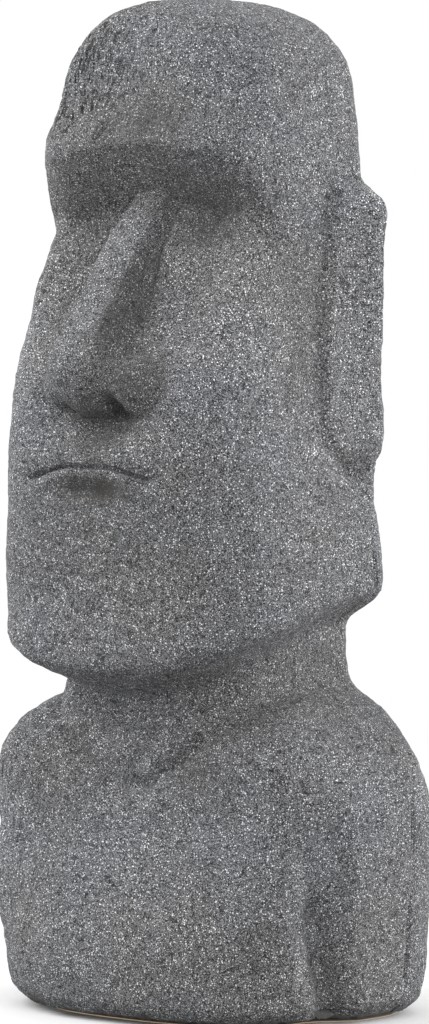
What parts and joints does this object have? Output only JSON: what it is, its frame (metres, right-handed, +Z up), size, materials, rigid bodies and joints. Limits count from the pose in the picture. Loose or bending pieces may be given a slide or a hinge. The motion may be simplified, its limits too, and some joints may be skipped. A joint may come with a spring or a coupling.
{
  "type": "tiki figure",
  "caption": "Free-standing stone-look figure: a long-browed head with slab ears on a bust, cast hollow in two halves, with a base board and a filler plug for ballast.",
  "frame": {"origin": "on the ground, under the middle of the figure's width and depth", "axes": "+Z up, the face looks along -Y, +X is the figure's left"},
  "size_m": [0.3168, 0.2559, 0.71],
  "materials": {
    "granite_cast": "rough speckled granite effect",
    "resin_mat": "resin-soaked fibre mat",
    "pine_batten": "sawn",
    "base_ply": "sealed plywood",
    "screw_steel": "zinc plated",
    "collar_plastic": "moulded",
    "plug_rubber": "moulded"
  },
  "bodies": {
    "figure": {"front_shell": "granite_cast", "back_shell": "granite_cast", "left_seam_strip": "resin_mat", "right_seam_strip": "resin_mat", "crown_seam_strip": "resin_mat", "front_batten": "pine_batten", "rear_batten": "pine_batten", "left_batten": "pine_batten", "right_batten": "pine_batten", "base_board": "base_ply", "base_screws": "screw_steel", "filler_collar": "collar_plastic"},
    "plug": {"filler_plug": "plug_rubber"}
  },
  "joints": [
    {"name": "plug_pull", "type": "slide", "parent": "figure", "child": "plug", "axis": [0, 0, -1], "range_m": [0, 0.09]}
  ]
}
